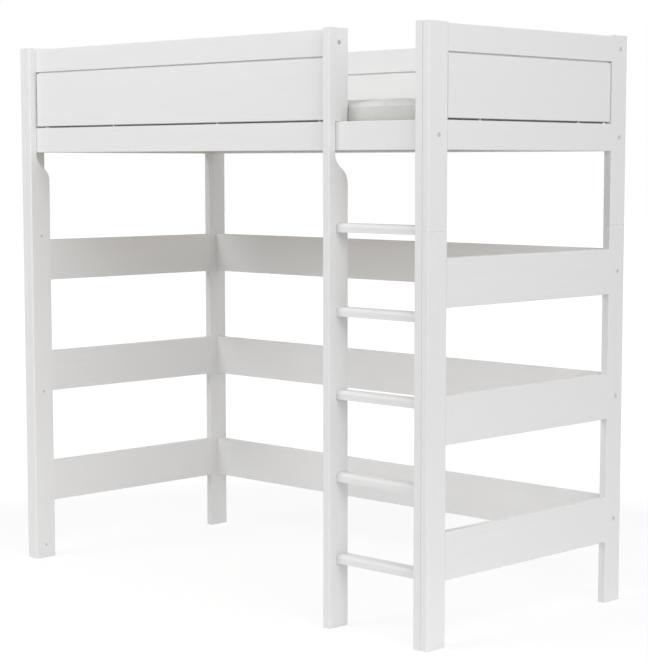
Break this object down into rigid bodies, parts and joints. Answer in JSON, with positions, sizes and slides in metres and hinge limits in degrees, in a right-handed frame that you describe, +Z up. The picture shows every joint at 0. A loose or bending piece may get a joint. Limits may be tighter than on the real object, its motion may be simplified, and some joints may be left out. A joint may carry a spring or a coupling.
{
  "type": "loft bed",
  "caption": "Full-height loft bed of white lacquered boards with a built-in ladder, guards all round, a slatted base and a mattress, open underneath.",
  "frame": {"origin": "on the floor, under the middle of the bed's length and width", "axes": "+X along the bed towards the ladder end, -Y towards the front with the ladder, +Z up"},
  "size_m": [2.07, 1.02, 1.956],
  "materials": {
    "white_lacquer": "semi-matt white lacquer, sprayed, over solid wood and board",
    "pine": "planed pine, unfinished",
    "beech": "fluted beech, unfinished",
    "zinc_steel": "zinc-plated steel",
    "slat_tape": "woven polyester tape",
    "mattress_cover": "knitted ticking over foam"
  },
  "bodies": {
    "bed_frame": {"back_bed_rail": "white_lacquer", "back_board_1": "white_lacquer", "back_board_2": "white_lacquer", "back_board_3": "white_lacquer", "back_panel": "white_lacquer", "back_top_rail": "white_lacquer", "barrel_nuts": "zinc_steel", "filler_stile": "white_lacquer", "frame_bolts": "zinc_steel", "front_bed_rail": "white_lacquer", "front_panel": "white_lacquer", "front_top_rail": "white_lacquer", "ladder_stile_left": "white_lacquer", "ladder_stile_right": "white_lacquer", "ledge_back": "white_lacquer", "ledge_front": "white_lacquer", "ledge_screws": "zinc_steel", "left_bed_rail": "white_lacquer", "left_board_1": "white_lacquer", "left_board_2": "white_lacquer", "left_board_3": "white_lacquer", "left_panel": "white_lacquer", "left_top_rail": "white_lacquer", "leg_back_left": "white_lacquer", "leg_back_right": "white_lacquer", "leg_front_left": "white_lacquer", "leg_front_right": "white_lacquer", "post_back_left": "white_lacquer", "post_back_right": "white_lacquer", "post_front_left": "white_lacquer", "post_front_right": "white_lacquer", "right_bed_rail": "white_lacquer", "right_board_1": "white_lacquer", "right_board_2": "white_lacquer", "right_board_3": "white_lacquer", "right_panel": "white_lacquer", "right_top_rail": "white_lacquer", "rung_1": "white_lacquer", "rung_2": "white_lacquer", "rung_3": "white_lacquer", "rung_4": "white_lacquer", "rung_5": "white_lacquer", "slat_01": "pine", "slat_02": "pine", "slat_03": "pine", "slat_04": "pine", "slat_05": "pine", "slat_06": "pine", "slat_07": "pine", "slat_08": "pine", "slat_09": "pine", "slat_10": "pine", "slat_11": "pine", "slat_12": "pine", "slat_13": "pine", "slat_14": "pine", "slat_tapes": "slat_tape", "stile_screws": "zinc_steel", "wood_dowels": "beech"},
    "mattress": {"mattress": "mattress_cover"}
  },
  "joints": [
    {"name": "mattress_lift", "type": "slide", "parent": "bed_frame", "child": "mattress", "axis": [0, 0, 1], "range_m": [0, 0.36]}
  ]
}
